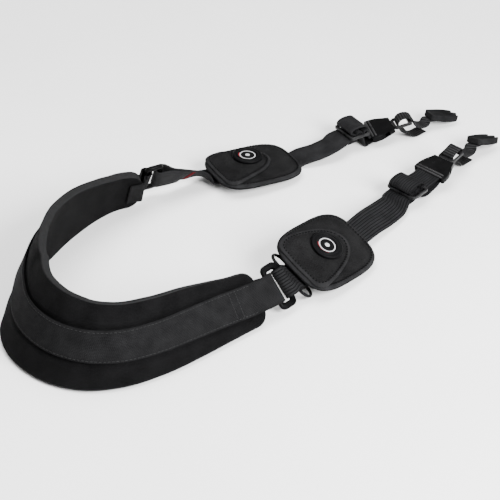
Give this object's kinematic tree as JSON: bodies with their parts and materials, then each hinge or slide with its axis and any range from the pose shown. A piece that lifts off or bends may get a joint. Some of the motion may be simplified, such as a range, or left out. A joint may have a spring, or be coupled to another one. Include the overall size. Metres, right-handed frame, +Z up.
{
  "type": "camera neck strap",
  "caption": "Camera neck strap in an open U: a curved padded neck band, webbing arms with small badge pouches, triglides, buckles and end plugs",
  "frame": {"origin": "centre of the bounding box in X and Y, at the floor in Z", "axes": "+Z up from the floor it lies on, +X from the neck pad's bend towards the two plug ends, +Y away from the viewer, from the near arm to the far arm"},
  "size_m": [0.4234, 0.4174, 0.072],
  "materials": {
    "neoprene": "matt knit-faced foam pad with a light grey cut rim",
    "webbing": "black woven polyester webbing",
    "pouch_fabric": "black knit-faced foam, stitched round its edge",
    "badge_rubber": "satin black moulded rubber",
    "black_plastic": "semi-gloss black acetal",
    "coated_wire": "black coated wire"
  },
  "bodies": {
    "root": {"neck_pad": "neoprene", "pad_webbing": "webbing", "near_wire_ring": "coated_wire", "near_connector_ring": "black_plastic", "near_arm_webbing": "webbing", "near_pouch_base": "pouch_fabric", "near_pouch_flap": "pouch_fabric", "near_badge": "badge_rubber", "near_triglide": "black_plastic", "near_buckle_socket": "black_plastic", "near_buckle_plug": "black_plastic", "near_narrow_webbing": "webbing", "near_end_plug": "black_plastic", "far_connector_ring": "black_plastic", "far_arm_webbing": "webbing", "far_pouch_base": "pouch_fabric", "far_pouch_flap": "pouch_fabric", "far_badge": "badge_rubber", "far_triglide": "black_plastic", "far_buckle_socket": "black_plastic", "far_buckle_plug": "black_plastic", "far_narrow_webbing": "webbing", "far_end_plug": "black_plastic"}
  },
  "joints": []
}
